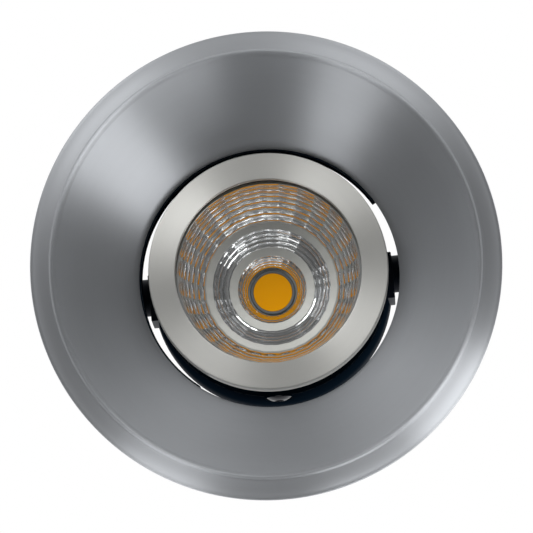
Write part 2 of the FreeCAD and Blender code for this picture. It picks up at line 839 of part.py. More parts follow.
def pivot_screws():
    """Shoulder screws on which the lamp tilts."""
    seat_radius = arm_outer_face + pivot_running_gap + washer_thickness
    return [
        screw(
            pivot_head_radius, pivot_head_height, pivot_shank_radius, seat_radius - sink_cavity_radius - fit_gap,
            at(seat_radius, pivot_turn + side, pivot_setback), at(1, pivot_turn + side),
        )
        for side in (0, 180)
    ]


def terminal_block():
    """Two-pole block on the heat sink's plate, with wire entries and clamp screws' wells."""
    low = V(-terminal_length / 2, wire_circle - terminal_depth, plate_top)
    block = box(low, low + V(terminal_length, terminal_depth, terminal_height))
    for angle in wire_places():
        entry = at(wire_circle, angle, plate_top)
        block = block.cut(cylinder(wire_radius + thread_gap, entry, wire_entry_length))
    for side in (-1, 1):
        well = V(side * terminal_length / 4, wire_circle - terminal_depth / 2, plate_top + terminal_height)
        block = block.cut(cylinder(clamp_well_radius, well, terminal_height / 2, Z_AXIS * -1))
    return block


def cover_screw_places(height):
    """Points of the cover's screws at a height."""
    return [
        at(cover_screw_circle, 30 + 360 / cover_screw_count * number, height)
        for number in range(cover_screw_count)
    ]


def cover_gasket():
    """Flat seal under the cover's flange."""
    ring = tube(cover_flange_radius, cover_radius - cover_wall, plate_top, cover_gasket_thickness)
    for place in cover_screw_places(plate_top):
        ring = ring.cut(cylinder(cover_screw_radius + clearance_gap, place, cover_gasket_thickness))
    return ring


def terminal_cover():
    """Black cap over the terminal block, with the hole for the gland."""
    inner = cover_radius - cover_wall
    cap = turned([
        (inner, cover_foot),
        (cover_flange_radius, cover_foot),
        (cover_flange_radius, cover_foot + cover_flange_thickness),
        (cover_radius, cover_foot + cover_flange_thickness),
        (cover_radius, cover_top - cover_wall),
        (cover_radius - cover_wall, cover_top),
        (gland_thread_radius + fit_gap, cover_top),
        (gland_thread_radius + fit_gap, cover_top - cover_wall),
        (inner, cover_top - cover_wall),
    ])
    for place in cover_screw_places(cover_foot):
        cap = cap.cut(cylinder(cover_screw_radius + clearance_gap, place, cover_flange_thickness))
    return cap


def cover_screws():
    """Screws through the cover's flange."""
    seat = cover_foot + cover_flange_thickness
    return [
        screw(
            cover_screw_head_radius, cover_screw_head_height, cover_screw_radius,
            cover_screw_length, place, Z_AXIS,
        )
        for place in cover_screw_places(seat)
    ]


def hexagon(radius, bottom, height):
    """Hexagonal prism round Z, measured over its corners."""
    corners = [at(radius, 60 * number, bottom) for number in range(6)]
    return prism(corners, height, Z_AXIS)


def gland_body():
    """Cable gland: thread in the cover, hexagon and barrel, bored through."""
    stub = cylinder(gland_thread_radius, V(0, 0, cover_top - gland_stub_length), gland_stub_length)
    nut = hexagon(gland_flange_radius, cover_top, gland_flange_thickness)
    barrel_foot = cover_top + gland_flange_thickness
    barrel = cylinder(gland_barrel_radius, V(0, 0, barrel_foot), gland_barrel_length)
    body = stub.fuse(nut).fuse(barrel)
    total = gland_stub_length + gland_flange_thickness + gland_barrel_length
    body = body.cut(cylinder(gland_bore_radius, V(0, 0, cover_top - gland_stub_length), total))
    pocket = V(0, 0, barrel_foot + gland_barrel_length - seal_length)
    return body.cut(cylinder(seal_outer_radius(), pocket, seal_length)).removeSplitter()


def seal_outer_radius():
    """Outer radius of the gland's seal, inside its barrel."""
    return (gland_bore_radius + gland_barrel_radius) / 2


def gland_seal():
    """Rubber ring that grips the cable."""
    top = cover_top + gland_flange_thickness + gland_barrel_length
    return tube(seal_outer_radius(), seal_bore_radius, top - seal_length, seal_length)


def gland_nut():
    """Cap nut screwed over the barrel."""
    foot = cover_top + gland_flange_thickness + gland_nut_skirt
    top = cover_top + gland_flange_thickness + gland_barrel_length + gland_nut_wall
    nut = hexagon(gland_nut_radius, foot, top - foot)
    nut = nut.cut(cylinder(gland_bore_radius, V(0, 0, foot), top - foot))
    room = cylinder(gland_barrel_radius + thread_gap, V(0, 0, foot), top - gland_nut_wall - foot)
    return nut.cut(room)


def save(name, solids):
    """Write one node; a list holds separate solids."""
    shape = Part.makeCompound(solids) if isinstance(solids, list) else solids
    pieces = shape.Solids
    sound = shape.isValid() and all(piece.Volume > 0 for piece in pieces)
    print(f"{name}: {len(pieces)} solid(s), {shape.Volume:.1f} mm3, {'valid' if sound else 'NOT VALID'}")
    if len(pieces) == 1:
        shape = pieces[0]
    shape.exportStep(f"parts/{name}.step")


def save_fixed_parts():
    """Nodes that stay with the soffit."""
    save("trim_ring", trim_ring())
    save("flange_gasket", flange_gasket())
    save("carrier_ring", carrier_ring())
    save("carrier_screws", carrier_screws())
    save("clip_rivets", [clip_rivet(foot) for offset in clip_offsets for foot in rivet_feet(offset)])


def save_clips():
    """Nodes of the two soffit clips."""
    for number, offset in enumerate(clip_offsets, start=1):
        turn = pivot_turn + offset
        save(f"clip_bracket_{number}", spun(clip_bracket(), turn))
        save(f"clip_pin_{number}", spun(clip_pin(), turn))
        save(f"clip_spring_{number}", spun(clip_spring(), turn))
        save(f"clip_arm_{number}", spun(clip_arm(), turn))
        save(f"clip_sleeve_{number}", spun(clip_sleeve(), turn))


def save_lamp():
    """Nodes that tilt with the lamp."""
    save("bezel_ring", hang(bezel_ring()))
    save("glass_seal", hang(glass_seal()))
    save("front_glass", hang(front_glass()))
    save("reflector", hang(reflector()))
    save("front_housing", hang(front_housing()))
    save("rear_housing", hang(rear_housing()))
    save("heat_sink", hang(heat_sink()))
    save("side_screws", [hang(item) for item in side_screws()])
    save("pivot_bushes", [hang(item) for item in pivot_bushes()])
    save("pivot_washers", [hang(item) for item in pivot_washers()])
    save("pivot_screws", [hang(item) for item in pivot_screws()])
    save("cob_board", hang(cob_board()))
    save("cob_dam", hang(cob_dam()))
    save("cob_phosphor", hang(cob_phosphor()))
    save("cob_holder", hang(cob_holder()))
    save("holder_screws", [hang(item) for item in holder_screws()])
    save("thermal_pad", hang(thermal_pad()))
    for name, angle in zip(("lead_wire_plus", "lead_wire_minus"), wire_places()):
        save(name, hang(lead_wire(angle)))
    save("terminal_block", hang(terminal_block()))
    save("cover_gasket", hang(cover_gasket()))
    save("terminal_cover", hang(terminal_cover()))
    save("cover_screws", [hang(item) for item in cover_screws()])
    save("gland_body", hang(gland_body()))
    save("gland_seal", hang(gland_seal()))
    save("gland_nut", hang(gland_nut()))


os.makedirs("parts", exist_ok=True)
save_fixed_parts()
save_clips()
save_lamp()
print("pivot axis", at(1, pivot_turn), "cable entry above the bezel", cover_top + gland_flange_thickness)
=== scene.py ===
"""Studio scene of a recessed soffit downlight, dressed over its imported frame.

Every size is in metres. The lamp's pieces are drawn along the lamp's own axis, where zero is the
bezel's face, and are then hung on the pivots as the frame has them.
"""

import json
import logging
import math
from dataclasses import dataclass, field
from enum import Enum
from typing import Any

import bpy
from mathutils import Matrix, Vector


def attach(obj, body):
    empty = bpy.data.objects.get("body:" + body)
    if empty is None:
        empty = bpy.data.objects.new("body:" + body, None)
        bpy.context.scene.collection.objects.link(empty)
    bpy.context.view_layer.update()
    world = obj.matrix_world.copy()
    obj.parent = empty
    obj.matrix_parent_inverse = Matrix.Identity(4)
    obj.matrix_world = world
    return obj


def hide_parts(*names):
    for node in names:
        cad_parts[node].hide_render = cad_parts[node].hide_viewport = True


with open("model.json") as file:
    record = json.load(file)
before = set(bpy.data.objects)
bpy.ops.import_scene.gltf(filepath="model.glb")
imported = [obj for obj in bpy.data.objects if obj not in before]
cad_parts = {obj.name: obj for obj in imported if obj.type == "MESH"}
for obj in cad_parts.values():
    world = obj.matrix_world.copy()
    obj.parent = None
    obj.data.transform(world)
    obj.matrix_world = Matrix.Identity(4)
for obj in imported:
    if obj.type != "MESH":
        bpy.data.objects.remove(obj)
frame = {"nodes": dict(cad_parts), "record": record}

log = logging.getLogger("downlight")

Outline = list[tuple[float, float]]
Colour = tuple[float, float, float]
MM = 0.001
SEAM = 0.002 * MM
TURNED_CREASE = 28.0


# ------------------------------------------------------------------------------------------------
# Places
# ------------------------------------------------------------------------------------------------


class Body(Enum):
    """Bodies of the frame."""

    FIXED = "root"
    LAMP = "lamp"
    CLIP_1 = "clip_1"
    CLIP_2 = "clip_2"


@dataclass(frozen=True)
class LampPlace:
    """Where the lamp's own axis stands in the object's frame."""

    pivot_height: float = 38.2 * MM
    setback: float = 20.0 * MM
    pivot_turn: float = math.radians(-5.4)
    rest_tilt: float = math.radians(-3.2)

    def matrix(self) -> Matrix:
        """Give the matrix from the lamp's own axis to the object's frame.

        Returns:
            The matrix.
        """
        axis = Vector((math.cos(self.pivot_turn), math.sin(self.pivot_turn), 0))
        lean = Matrix.Rotation(self.rest_tilt, 4, axis)
        up = Matrix.Translation((0, 0, self.pivot_height))
        return up @ lean @ Matrix.Translation((0, 0, -self.setback))


LAMP_PLACE = LampPlace()


# ------------------------------------------------------------------------------------------------
# Shader maths
# ------------------------------------------------------------------------------------------------


class Number:
    """A number socket that takes Python's arithmetic and adds Math nodes."""

    def __init__(self, recipe: "Recipe", socket: bpy.types.NodeSocket) -> None:
        """Wrap a socket of a recipe's tree."""
        self.recipe = recipe
        self.socket = socket

    def math(self, operation: str, *others: Any) -> "Number":
        """Add a Math node.

        Args:
            operation: The Math node's operation.
            others: The operands after this one.

        Returns:
            The node's result.
        """
        return self.recipe.math(operation, self, *others)

    def __add__(self, other: Any) -> "Number":
        """Sum."""
        return self.math("ADD", other)

    __radd__ = __add__

    def __mul__(self, other: Any) -> "Number":
        """Product."""
        return self.math("MULTIPLY", other)

    __rmul__ = __mul__

    def __sub__(self, other: Any) -> "Number":
        """Difference."""
        return self.math("SUBTRACT", other)

    def __rsub__(self, other: Any) -> "Number":
        """Difference with a plain number in front."""
        return self.recipe.math("SUBTRACT", other, self)

    def __truediv__(self, other: Any) -> "Number":
        """Quotient."""
        return self.math("DIVIDE", other)


class Recipe:
    """Nodes of one material, or of the world."""

    def __init__(self, name: str, world: bool = False) -> None:
        """Start with an empty tree and its output.

        Args:
            name: Name of the material or world.
            world: Whether it is a world.
        """
        self.owner = bpy.data.worlds.new(name) if world else bpy.data.materials.new(name)
        self.owner.use_nodes = True
        self.tree = self.owner.node_tree
        self.tree.nodes.clear()
        self.output = self.node("ShaderNodeOutputWorld" if world else "ShaderNodeOutputMaterial")

    def node(
        self, kind: str, settings: dict[str, Any] | None = None, inputs: dict[Any, Any] | None = None,
    ) -> bpy.types.Node:
        """Add a node.

        Args:
            kind: The node's type.
            settings: Properties that are set first.
            inputs: Values or links of its sockets, by name or number.

        Returns:
            The node.
        """
        node = self.tree.nodes.new(kind)
        for key, value in (settings or {}).items():
            setattr(node, key, value)
        for key, value in (inputs or {}).items():
            self.feed(node.inputs[key], value)
        return node

    def feed(self, socket: bpy.types.NodeSocket, value: Any) -> None:
        """Set a socket's value, or link it.

        Args:
            socket: The socket.
            value: A number, a colour, a vector, or what is linked to it.
        """
        if isinstance(value, Number):
            self.tree.links.new(value.socket, socket)
        elif isinstance(value, bpy.types.NodeSocket):
            self.tree.links.new(value, socket)
        elif isinstance(value, tuple) and len(value) == 3 and socket.type == "RGBA":
            socket.default_value = (*value, 1)
        else:
            socket.default_value = value

    def math(self, operation: str, *operands: Any) -> Number:
        """Add a Math node on numbers or sockets."""
        inputs = dict(enumerate(operands))
        return Number(self, self.node("ShaderNodeMath", {"operation": operation}, inputs).outputs[0])

    def coordinates(self, place: Matrix | None = None) -> bpy.types.NodeSocket:
        """Give Object coordinates, brought to a piece's own axis where a place is given.

        Args:
            place: Place of the piece's own axis.

        Returns:
            The coordinates.
        """
        socket = self.node("ShaderNodeTexCoord").outputs["Object"]
        if place is None:
            return socket
        back = place.inverted()
        mapping = self.node("ShaderNodeMapping", {}, {
            "Vector": socket,
            "Location": back.to_translation(),
            "Rotation": back.to_euler(),
        })
        return mapping.outputs["Vector"]

    def parts(self, vector: bpy.types.NodeSocket) -> tuple[Number, Number, Number]:
        """The three numbers of a vector."""
        split = self.node("ShaderNodeSeparateXYZ", {}, {"Vector": vector})
        return tuple(Number(self, output) for output in split.outputs)

    def vector(self, x: Any, y: Any, z: Any) -> bpy.types.NodeSocket:
        """A vector of three numbers."""
        return self.node("ShaderNodeCombineXYZ", {}, {0: x, 1: y, 2: z}).outputs[0]

    def noise(self, vector: Any, scale: float, detail: float = 2.0, roughness: float = 0.5) -> Number:
        """Add noise between 0 and 1.

        Args:
            vector: Where it is read.
            scale: Spots to the unit.
            detail: Steps of finer spots.
            roughness: Strength of the finer spots.

        Returns:
            The noise.
        """
        node = self.node("ShaderNodeTexNoise", {}, {
            "Vector": vector, "Scale": scale, "Detail": detail, "Roughness": roughness,
        })
        return Number(self, node.outputs["Fac"])

    def rise(self, value: Any, start: float, end: float) -> Number:
        """Grow softly from 0 at a start to 1 at an end.

        Args:
            value: The number that is looked at.
            start: Where the rise starts.
            end: Where it ends.

        Returns:
            The share.
        """
        node = self.node("ShaderNodeMapRange", {"interpolation_type": "SMOOTHSTEP"}, {
            "Value": value, "From Min": start, "From Max": end,
        })
        return Number(self, node.outputs["Result"])

    def blend(self, share: Any, first: Any, second: Any) -> bpy.types.NodeSocket:
        """A colour between two, by a share."""
        node = self.node("ShaderNodeMix", {"data_type": "RGBA"}, {0: share, 6: first, 7: second})
        return node.outputs[2]

    def edges(self, reach: float, gain: float = 4.0) -> Number:
        """Find the edges that rub: 1 on hard edges, 0 on plain faces.

        Args:
            reach: Width of the worn strip.
            gain: How soon a turned normal counts as an edge.

        Returns:
            The share.
        """
        rounded = self.node("ShaderNodeBevel", {"samples": 4}, {"Radius": reach})
        flat = self.node("ShaderNodeNewGeometry")
        both = self.node("ShaderNodeVectorMath", {"operation": "DOT_PRODUCT"}, {
            0: rounded.outputs["Normal"], 1: flat.outputs["Normal"],
        })
        turned = 1 - Number(self, both.outputs["Value"])
        return (turned * gain).math("MINIMUM", 1.0).math("MAXIMUM", 0.0)

    def bump(self, height: Any, distance: float) -> bpy.types.NodeSocket:
        """A normal from a height."""
        node = self.node("ShaderNodeBump", {}, {"Height": height, "Distance": distance, "Strength": 1.0})
        return node.outputs["Normal"]

    def finish(self, shader: bpy.types.Node) -> Any:
        """Link a shader to the output, and give the material or world."""
        self.feed(self.output.inputs["Surface"], shader.outputs[0])
        return self.owner

    def mixed(self, share: Any, first: bpy.types.Node, second: bpy.types.Node) -> bpy.types.Material:
        """Finish the material with a mix of two shaders."""
        inputs = {0: share, 1: first.outputs[0], 2: second.outputs[0]}
        return self.finish(self.node("ShaderNodeMixShader", {}, inputs))

    def principled(self, **inputs: Any) -> bpy.types.Material:
        """Finish the material with a Principled shader; underscores stand for spaces."""
        named = {key.replace("_", " "): value for key, value in inputs.items()}
        return self.finish(self.node("ShaderNodeBsdfPrincipled", {}, named))


def shaded(colour: Colour, factor: float) -> Colour:
    """A colour made darker or lighter, up to full white."""
    return tuple(min(1.0, channel * factor) for channel in colour)


# ------------------------------------------------------------------------------------------------
# Finishes
# ------------------------------------------------------------------------------------------------


@dataclass(frozen=True)
class TurnedMetal:
    """Plate that was brushed while it turned round its axis."""

    name: str
    colour: Colour
    roughness: float = 0.46
    brushing: float = 0.92
    brush_turn: float = 0.25
    groove_pitch: float = 0.22 * MM
    groove_depth: float = 0.0010 * MM
    groove_lean: float = 0.9
    groove_run: float = 0.8
    groove_haze: float = 0.06
    band_grooves: float = 9
    band_run: float = 4
    band_share: float = 0.4
    smudge_scale: float = 60.0
    smudge_haze: float = 0.03
    shade_change: float = 0.08
    leaning: bool = False

    def build(self) -> bpy.types.Material:
        """Make the material.

        Returns:
            The material.
        """
        recipe = Recipe(self.name)
        where = recipe.coordinates(LAMP_PLACE.matrix() if self.leaning else None)
        x, y, z = recipe.parts(where)
        radius = (x * x + y * y).math("SQRT")
        along = radius - z * self.groove_lean
        round_x = x / radius * self.groove_run
        round_y = y / radius * self.groove_run
        groove_place = recipe.vector(along / self.groove_pitch, round_x, round_y)
        rings = recipe.noise(groove_place, 1.0, 3.0, 0.6)
        band_pitch = self.groove_pitch * self.band_grooves
        band_place = recipe.vector(along / band_pitch, round_x * self.band_run, round_y * self.band_run)
        bands = recipe.noise(band_place, 1.0)
        smudge = recipe.noise(where, self.smudge_scale, 3.0)
        marks = rings * (1 - self.band_share) + bands * self.band_share
        haze = (rings - 0.5) * self.groove_haze + (smudge - 0.5) * self.smudge_haze
        return recipe.principled(
            Base_Color=recipe.blend(marks, shaded(self.colour, 1 - self.shade_change), self.colour),
            Metallic=1.0,
            Roughness=self.roughness + haze,
            Anisotropic=self.brushing,
            Anisotropic_Rotation=self.brush_turn,
            Normal=recipe.bump(rings, self.groove_depth),
        )


@dataclass(frozen=True)
class SilveredFacets:
    """Mirror coat of the reflector, satin on its two ledges."""

    name: str = "reflector_silver"
    colour: Colour = (0.80, 0.80, 0.81)
    dull_colour: Colour = (0.74, 0.745, 0.76)
    ledge_colour: Colour = (0.74, 0.73, 0.70)
    roughness: float = 0.09
    ledge_roughness: float = 0.42
    ledge_satin: float = 0.7
    ledges: tuple[float, float] = (20.78 * MM, 24.18 * MM)
    ledge_half: float = 0.24 * MM
    haze_scale: float = 900.0
    haze_change: float = 0.05
    haze_depth: float = 0.002 * MM
    patch_scale: float = 140.0

    def build(self) -> bpy.types.Material:
        """Make the material.

        Returns:
            The material.
        """
        recipe = Recipe(self.name)
        where = recipe.coordinates(LAMP_PLACE.matrix())
        haze = recipe.noise(where, self.haze_scale, 3.0, 0.6)
        patches = recipe.noise(where, self.patch_scale)
        depth = recipe.parts(where)[2]
        first, second = (depth.math("COMPARE", ledge, self.ledge_half) for ledge in self.ledges)
        on_ledge = first + second
        mirror = recipe.blend(patches, self.dull_colour, self.colour)
        satin = on_ledge * (self.ledge_roughness - self.roughness)
        return recipe.principled(
            Base_Color=recipe.blend(on_ledge, mirror, self.ledge_colour),
            Metallic=1 - on_ledge * self.ledge_satin,
            Roughness=self.roughness + (haze - 0.5) * self.haze_change + satin,
            Normal=recipe.bump(haze, self.haze_depth),
        )


@dataclass(frozen=True)
class Coat:
    """Sprayed or moulded opaque finish with a fine texture; where a second, lighter colour is given, the
    base colour is painted shade and the light's back and up-facing faces take the lighter colour.
    """

    name: str
    colour: Colour
    roughness: float = 0.45
    grain: float = 1800.0
    grain_depth: float = 0.006 * MM
    cloud_scale: float = 90.0
    cloud_change: float = 0.12
    shade_change: float = 0.25
    metallic: float = 0.0
    shine: float = 0.5
    wear: Colour | None = None
    wear_reach: float = 0.25 * MM
    wear_share: float = 0.8
    rub_scale: float = 700.0
    rub_level: float = 0.46
    # Painted shade: when this colour is given, the base colour is a darkened shade, and the light's back
    # and faces that look up blend to this lighter colour.
    unshaded_colour: Colour | None = None
    unshaded_from: float = 37.0 * MM
    unshaded_to: float = 52.0 * MM
    level_from: float = 0.4
    level_to: float = 0.7
    lacquer_weight: float = 0.45
    lacquer_roughness: float = 0.38

    def build(self) -> bpy.types.Material:
        """Make the material.

        Returns:
            The material.
        """
        recipe = Recipe(self.name)
        where = recipe.coordinates()
        grain = recipe.noise(where, self.grain, 3.0, 0.6)
        cloud = recipe.noise(where, self.cloud_scale, 3.0)
        light = shaded(self.colour, 1 + self.shade_change)
        colour = recipe.blend(grain * 0.5 + cloud * 0.5, self.colour, light)
        lacquer: Any = 0.0
        # Painted shade: away from the light's back and up-facing faces, the coat keeps its darkened base
        # colour.
        if self.unshaded_colour is not None:
            share = self.unshaded_share(recipe, where)
            colour = recipe.blend(share, colour, recipe.blend(grain, self.unshaded_colour, light))
            lacquer = share * self.lacquer_weight
        if self.wear is not None:
            rubbed = recipe.noise(where, self.rub_scale, 3.0).math("GREATER_THAN", self.rub_level)
            worn = recipe.edges(self.wear_reach) * rubbed * self.wear_share
            colour = recipe.blend(worn, colour, self.wear)
        return recipe.principled(
            Base_Color=colour,
            Metallic=self.metallic,
            Specular_IOR_Level=self.shine,
            Roughness=self.roughness + (cloud - 0.5) * self.cloud_change,
            Coat_Weight=lacquer,
            Coat_Roughness=self.lacquer_roughness,
            Normal=recipe.bump(grain, self.grain_depth),
        )

    def unshaded_share(self, recipe: Recipe, where: bpy.types.NodeSocket) -> Number:
        """Find where the coat shows its lighter unshaded colour and a lacquer: on the light's back and on
        faces that look up. Elsewhere the darkened base colour stays as painted shade.

        Args:
            recipe: The material's nodes.
            where: Object coordinates.

        Returns:
            The share.
        """
        raised = recipe.rise(recipe.parts(where)[2], self.unshaded_from, self.unshaded_to)
        facing = recipe.parts(recipe.node("ShaderNodeNewGeometry").outputs["Normal"])[2]
        return raised.math("MAXIMUM", recipe.rise(facing, self.level_from, self.level_to))


@dataclass(frozen=True)
class PlatedSteel:
    """Zinc plate or bare spring steel, with drawn streaks and bright edges."""

    name: str
    colour: Colour
    roughness: float = 0.33
    streak_scale: tuple[float, float, float] = (260, 260, 2600)
    streak_depth: float = 0.003 * MM
    spangle_scale: float = 420.0
    spangle_change: float = 0.18
    dark_shade: float = 0.8
    bright_shade: float = 1.35
    wear_reach: float = 0.15 * MM
    wear_share: float = 0.7
    wear_polish: float = 0.08

    def build(self) -> bpy.types.Material:
        """Make the material.

        Returns:
            The material.
        """
        recipe = Recipe(self.name)
        where = recipe.coordinates()
        streaks = recipe.node("ShaderNodeMapping", {}, {"Vector": where, "Scale": self.streak_scale})
        drawn = recipe.noise(streaks.outputs["Vector"], 1.0)
        spangle = recipe.noise(where, self.spangle_scale)
        rubbed = recipe.edges(self.wear_reach)
        plate = recipe.blend(spangle, shaded(self.colour, self.dark_shade), self.colour)
        bright = shaded(self.colour, self.bright_shade)
        polish = rubbed * self.wear_polish
        return recipe.principled(
            Base_Color=recipe.blend(rubbed * self.wear_share, plate, bright),
            Metallic=1.0,
            Roughness=self.roughness + (spangle - 0.5) * self.spangle_change - polish,
            Normal=recipe.bump(drawn, self.streak_depth),
        )


@dataclass(frozen=True)
class ClearPane:
    """Polished clear glass, seen as a faint gloss over what lies behind it."""

    name: str = "clear_glass"
    tint: Colour = (0.985, 0.99, 0.985)
    bending: float = 1.45
    gloss_share: float = 0.4
    roughness: float = 0.02
    speck_scale: float = 700.0

    def build(self) -> bpy.types.Material:
        """Make the material.

        Returns:
            The material.
        """
        recipe = Recipe(self.name)
        specks = recipe.noise(recipe.coordinates(), self.speck_scale)
        haze = self.roughness + specks * self.roughness
        gloss = recipe.node("ShaderNodeBsdfGlossy", {}, {"Roughness": haze})
        clear = recipe.node("ShaderNodeBsdfTransparent", {}, {"Color": self.tint})
        share = Number(recipe, recipe.node("ShaderNodeFresnel", {}, {"IOR": self.bending}).outputs[0])
        return recipe.mixed(share * self.gloss_share, clear, gloss)


@dataclass(frozen=True)
class Phosphor:
    """Yellow silicone of the light source, with its grains and a faint painted glow."""

    name: str = "phosphor_yellow"
    colour: Colour = (0.95, 0.40, 0.002)
    deep_colour: Colour = (0.86, 0.34, 0.001)
    painted_glow: float = 0.20
    roughness: float = 0.6
    grain_scale: float = 4200.0
    grain_depth: float = 0.01 * MM
    grain_haze: float = 0.1
    cloud_scale: float = 500.0
    cloud_share: float = 0.6

    def build(self) -> bpy.types.Material:
        """Make the material.

        Returns:
            The material.
        """
        recipe = Recipe(self.name)
        where = recipe.coordinates()
        grains = recipe.noise(where, self.grain_scale, 3.0, 0.7)
        cloud = recipe.noise(where, self.cloud_scale)
        spots = grains * (1 - self.cloud_share) + cloud * self.cloud_share
        return recipe.principled(
            Base_Color=recipe.blend(spots, self.deep_colour, self.colour),
            # Emission is painted light: a faint glow that brightens the unlit phosphor deep in the bowl.
            Emission_Color=self.colour,
            Emission_Strength=self.painted_glow,
            Roughness=self.roughness + grains * self.grain_haze,
            Specular_IOR_Level=0.0,
            Normal=recipe.bump(grains, self.grain_depth),
        )


FINISHES: dict[str, Any] = {
    "brushed_nickel": TurnedMetal("brushed_nickel", (0.550, 0.568, 0.595)),
    "bezel_nickel": TurnedMetal("bezel_nickel", (0.640, 0.638, 0.610), roughness=0.40, leaning=True),
    "reflector_silver": SilveredFacets(),
    # Base colour darkened as painted shade; the light's back and up-facing faces get the lighter second
    # colour.
    "black_coat": Coat(
        "black_coat", (0.0036, 0.0085, 0.0155), roughness=0.62, shine=0.0, wear=(0.10, 0.105, 0.11),
        unshaded_colour=(0.016, 0.019, 0.023),
    ),
    # Base colour darkened as painted shade; the light's back and up-facing faces get the lighter second
    # colour.
    "black_plastic": Coat(
        "black_plastic", (0.0035, 0.0065, 0.0125), roughness=0.5, grain=1200.0, shine=0.08,
        wear=(0.06, 0.062, 0.066), unshaded_colour=(0.024, 0.025, 0.026),
    ),
    "sealing_foam": Coat(
        "sealing_foam", (0.03, 0.03, 0.03), roughness=0.9, grain=900.0, grain_depth=0.06 * MM,
    ),
    "seal_rubber": Coat("seal_rubber", (0.018, 0.018, 0.019), roughness=0.7),
    "pad_grey": Coat("pad_grey", (0.35, 0.37, 0.40), roughness=0.8),
    "board_white": Coat("board_white", (0.72, 0.72, 0.70), roughness=0.4, shade_change=0.05),
    "dam_silicone": Coat("dam_silicone", (0.17, 0.19, 0.21), roughness=0.4, shade_change=0.1),
    "holder_plastic": Coat("holder_plastic", (0.70, 0.70, 0.68), roughness=0.5, shade_change=0.05),
    "screw_black": Coat(
        "screw_black", (0.02, 0.02, 0.026), roughness=0.3, metallic=0.6, wear=(0.16, 0.16, 0.17),
    ),
    "zinc_steel": PlatedSteel("zinc_steel", (0.55, 0.56, 0.58)),
    "spring_steel": PlatedSteel("spring_steel", (0.50, 0.49, 0.47), roughness=0.28),
    "wire_red": Coat("wire_red", (0.42, 0.015, 0.012), roughness=0.35),
    "wire_black": Coat("wire_black", (0.012, 0.012, 0.012), roughness=0.35),
    "terminal_plastic": Coat("terminal_plastic", (0.03, 0.20, 0.07), roughness=0.4),
    "clear_glass": ClearPane(),
    "phosphor_yellow": Phosphor(),
}


class Paintbox:
    """Builds each finish once and puts it on pieces."""

    def __init__(self) -> None:
        """Start with no finish made."""
        self.made: dict[str, bpy.types.Material] = {}
        self.slots = {part["node"]: part["material_slot"] for part in frame["record"]["subparts"]}

    def get(self, slot: str) -> bpy.types.Material:
        """Give the finish of a material slot, made at its first use.

        Args:
            slot: The slot.

        Returns:
            The material.
        """
        if slot not in self.made:
            self.made[slot] = FINISHES[slot].build()
        return self.made[slot]

    def dress(self, piece: bpy.types.Object, slot: str) -> None:
        """Give a piece one finish, the one of a slot.

        Args:
            piece: The piece.
            slot: The slot.
        """
        piece.data.materials.clear()
        piece.data.materials.append(self.get(slot))

    def dress_nodes(self) -> None:
        """Give every CAD node the finish of its slot."""
        for name, node in frame["nodes"].items():
            if not node.material_slots:
                node.data.materials.append(self.get(self.slots[name]))
            for material_slot in node.material_slots:
                material_slot.material = self.get(self.slots[name])


# ------------------------------------------------------------------------------------------------
# Modelling
# ------------------------------------------------------------------------------------------------


def deselect() -> None:
    """Leave edit mode with nothing selected."""
    if bpy.context.object and bpy.context.object.mode != "OBJECT":
        bpy.ops.object.mode_set(mode="OBJECT")
    bpy.ops.object.select_all(action="DESELECT")


def pick(piece: bpy.types.Object) -> None:
    """Select one piece and make it active.

    Args:
        piece: The piece.
    """
    deselect()
    piece.select_set(True)
    bpy.context.view_layer.objects.active = piece


def arc(centre: tuple[float, float], radius: float, start: float, end: float, count: int) -> Outline:
    """Points of an arc in an outline.

    Args:
        centre: Its centre.
        radius: Its radius.
        start: Angle of the first point, in degrees.
        end: Angle of the last point, in degrees.
        count: Number of steps.

    Returns:
        The points.
    """
    points = []
    for step in range(count + 1):
        turn = math.radians(start + (end - start) * step / count)
        points.append((centre[0] + radius * math.cos(turn), centre[1] + radius * math.sin(turn)))
    return points


def curve_through(
    first: tuple[float, float], middle: tuple[float, float], last: tuple[float, float], count: int,
) -> Outline:
    """Points of a quadratic curve in an outline.

    Args:
        first: Its first point.
        middle: A point halfway, which it goes through.
        last: Its last point.
        count: Number of steps.

    Returns:
        The points.
    """
    control = [2 * m - (a + b) / 2 for a, m, b in zip(first, middle, last)]
    points = []
    for step in range(count + 1):
        share = step / count
        points.append(tuple(
            (1 - share) ** 2 * a + 2 * share * (1 - share) * c + share ** 2 * b
            for a, c, b in zip(first, control, last)
        ))
    return points


def spin(name: str, outline: Outline, steps: int) -> bpy.types.Object:
    """Turn a closed outline round Z.

    Args:
        name: The piece's name.
        outline: Points of (radius, height).
        steps: Number of steps round.

    Returns:
        The piece, with its normals outward.
    """
    deselect()
    bpy.ops.mesh.primitive_circle_add(vertices=len(outline), radius=1, fill_type="NOTHING")
    piece = bpy.context.object
    piece.name = name
    for vertex, (radius, height) in zip(piece.data.vertices, outline):
        vertex.co = (radius, 0, height)
    bpy.ops.object.mode_set(mode="EDIT")
    bpy.ops.mesh.select_all(action="SELECT")
    bpy.ops.mesh.spin(steps=steps, angle=math.tau, center=(0, 0, 0), axis=(0, 0, 1))
    bpy.ops.mesh.select_all(action="SELECT")
    bpy.ops.mesh.remove_doubles(threshold=SEAM)
    bpy.ops.mesh.normals_make_consistent(inside=False)
    bpy.ops.object.mode_set(mode="OBJECT")
    return piece


def smooth(piece: bpy.types.Object, degrees: float) -> None:
    """Shade smooth, with edges sharper than an angle kept."""
    pick(piece)
    bpy.ops.object.shade_smooth_by_angle(angle=math.radians(degrees))


def settle(piece: bpy.types.Object, place: Matrix | None = None) -> bpy.types.Object:
    """Put a piece's place in its mesh.

    Args:
        piece: The piece, at the origin.
        place: Its place, where it has one.

    Returns:
        The piece.
    """
    pick(piece)
    if place is not None:
        piece.matrix_world = place
    bpy.ops.object.transform_apply(location=True, rotation=True, scale=True)
    return piece


